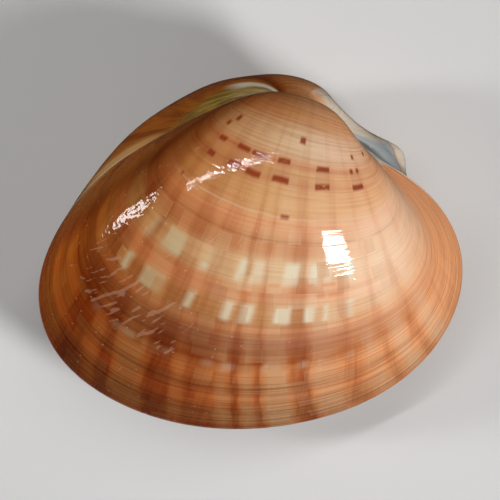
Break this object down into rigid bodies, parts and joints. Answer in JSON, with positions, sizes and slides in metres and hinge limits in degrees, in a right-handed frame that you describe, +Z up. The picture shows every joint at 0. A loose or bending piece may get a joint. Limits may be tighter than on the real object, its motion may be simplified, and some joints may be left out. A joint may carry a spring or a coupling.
{
  "type": "clam shell",
  "caption": "Closed clam shell: two domed, glossy valves with low curled beaks, held together by a horny ligament, lying on its side.",
  "frame": {"origin": "on the surface it rests on, under the middle of the shell's bounding box", "axes": "+X towards the front end of the shell (the way the beaks turn), +Y towards the beaks, +Z up through the right valve"},
  "size_m": [0.0736, 0.064, 0.0457],
  "materials": {
    "right_valve": "glossy, smooth shell with fine growth lines",
    "left_valve": "glossy, smooth shell with fine growth lines",
    "ligament": "horny, olive-brown, slightly glossy"
  },
  "bodies": {
    "root": {"right_valve": "right_valve", "left_valve": "left_valve", "ligament": "ligament"}
  },
  "joints": []
}
